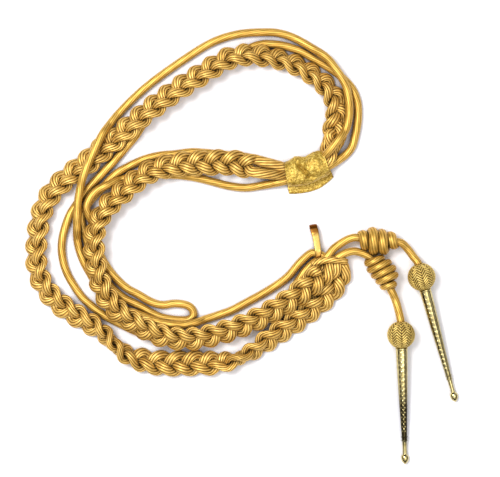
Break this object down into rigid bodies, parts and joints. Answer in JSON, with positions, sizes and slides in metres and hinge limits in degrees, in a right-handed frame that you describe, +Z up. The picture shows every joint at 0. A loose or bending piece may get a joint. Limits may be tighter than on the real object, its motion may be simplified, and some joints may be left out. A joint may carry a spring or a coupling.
{
  "type": "aiguillette",
  "caption": "Gilt cord aiguillette lying flat: plaited and plain wire cords from a lace shoulder tab to a button hook, with wound knots and tapered brass tags.",
  "frame": {"origin": "centre of the bounding box, on the surface that the aiguillette lies on", "axes": "+Z up from that surface; +Y from the tags' tips towards the top of the cords' upper bend; +X from the plaits' outer bend towards the tags"},
  "size_m": [0.3228, 0.3274, 0.021],
  "materials": {
    "cord": "satin gilt wire cord",
    "plait": "satin gilt wire cord, plaited",
    "lace": "sparkling gold lace",
    "ball": "knitted gilt wire",
    "brass": "polished"
  },
  "bodies": {
    "root": {"shoulder_tab": "lace", "tab_backing": "lace", "rear_plait_strand_1": "plait", "rear_plait_strand_2": "plait", "rear_plait_strand_3": "plait", "front_plait_strand_1": "plait", "front_plait_strand_2": "plait", "front_plait_strand_3": "plait", "first_rear_cord": "cord", "second_rear_cord": "cord", "arm_loop_cord": "cord", "upper_tag_cord": "cord", "lower_tag_cord": "cord", "front_binding": "cord", "upper_knot": "cord", "lower_knot": "cord", "upper_ball": "ball", "upper_tag": "brass", "lower_ball": "ball", "lower_tag": "brass", "hook": "brass"}
  },
  "joints": []
}
